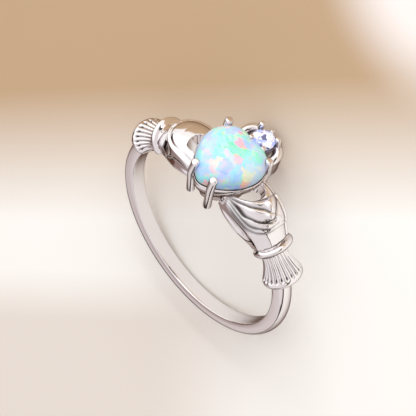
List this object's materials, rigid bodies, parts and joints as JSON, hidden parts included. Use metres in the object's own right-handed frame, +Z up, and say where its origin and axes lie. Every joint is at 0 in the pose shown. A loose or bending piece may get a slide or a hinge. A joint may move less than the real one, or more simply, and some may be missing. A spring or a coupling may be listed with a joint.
{
  "type": "claddagh ring",
  "caption": "Claddagh ring: two cast hands with fluted cuffs hold a heart-shaped opal cabochon, and a small crown with a round clear stone sits above it.",
  "frame": {"origin": "centre of the finger bore, halfway through the band's width", "axes": "the ring lies on its side: +Z is up from the surface, -Y points from the bore to the hands and the heart, and X runs across the two hands. The bore's axis leans 13.0 degrees from Z, because the ring rests on the crown's two feet and on the far edge of the band"},
  "size_m": [0.0198, 0.0232, 0.0093],
  "materials": {
    "silver": "polished rhodium-plated silver",
    "opal": "polished milky opal with patches of green, pink and blue",
    "crystal": "clear faceted stone"
  },
  "bodies": {
    "root": {"ring_casting": "silver", "heart_opal": "opal", "crown_stone": "crystal"}
  },
  "joints": []
}
